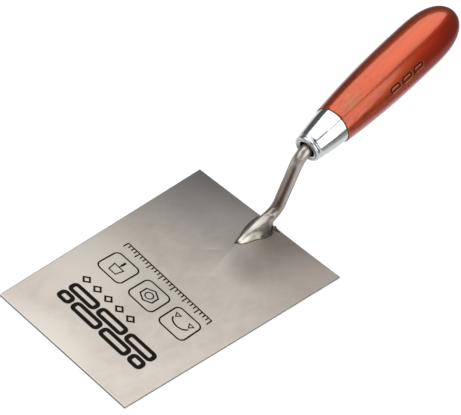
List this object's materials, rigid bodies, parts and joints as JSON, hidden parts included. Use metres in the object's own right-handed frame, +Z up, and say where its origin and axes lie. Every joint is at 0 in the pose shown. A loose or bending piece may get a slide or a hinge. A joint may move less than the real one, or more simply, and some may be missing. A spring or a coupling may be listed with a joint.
{
  "type": "trapezoid plastering trowel",
  "caption": "Flat trapezoid stainless trowel with a forged goose-neck shank, chromed ferrule and turned, lacquered wooden handle.",
  "frame": {"origin": "centre of the blade's flat underside, midway between its front and rear edges", "axes": "+X towards the blade's front edge, +Z up out of the blade's face, +Y across the blade; the handle rises towards -X"},
  "size_m": [0.3238, 0.1152, 0.123],
  "materials": {
    "blade_steel": "brushed stainless, matt, printed marks on the front half",
    "shank_steel": "ground and tumbled forging with dents and brown streaks",
    "weld_metal": "heat-tinted weld bead",
    "ferrule_chrome": "bright plated",
    "handle_wood": "red-orange stained wood under clear gloss lacquer"
  },
  "bodies": {
    "root": {"blade": "blade_steel", "shank": "shank_steel", "foot_weld": "weld_metal", "ferrule": "ferrule_chrome", "handle": "handle_wood"}
  },
  "joints": []
}
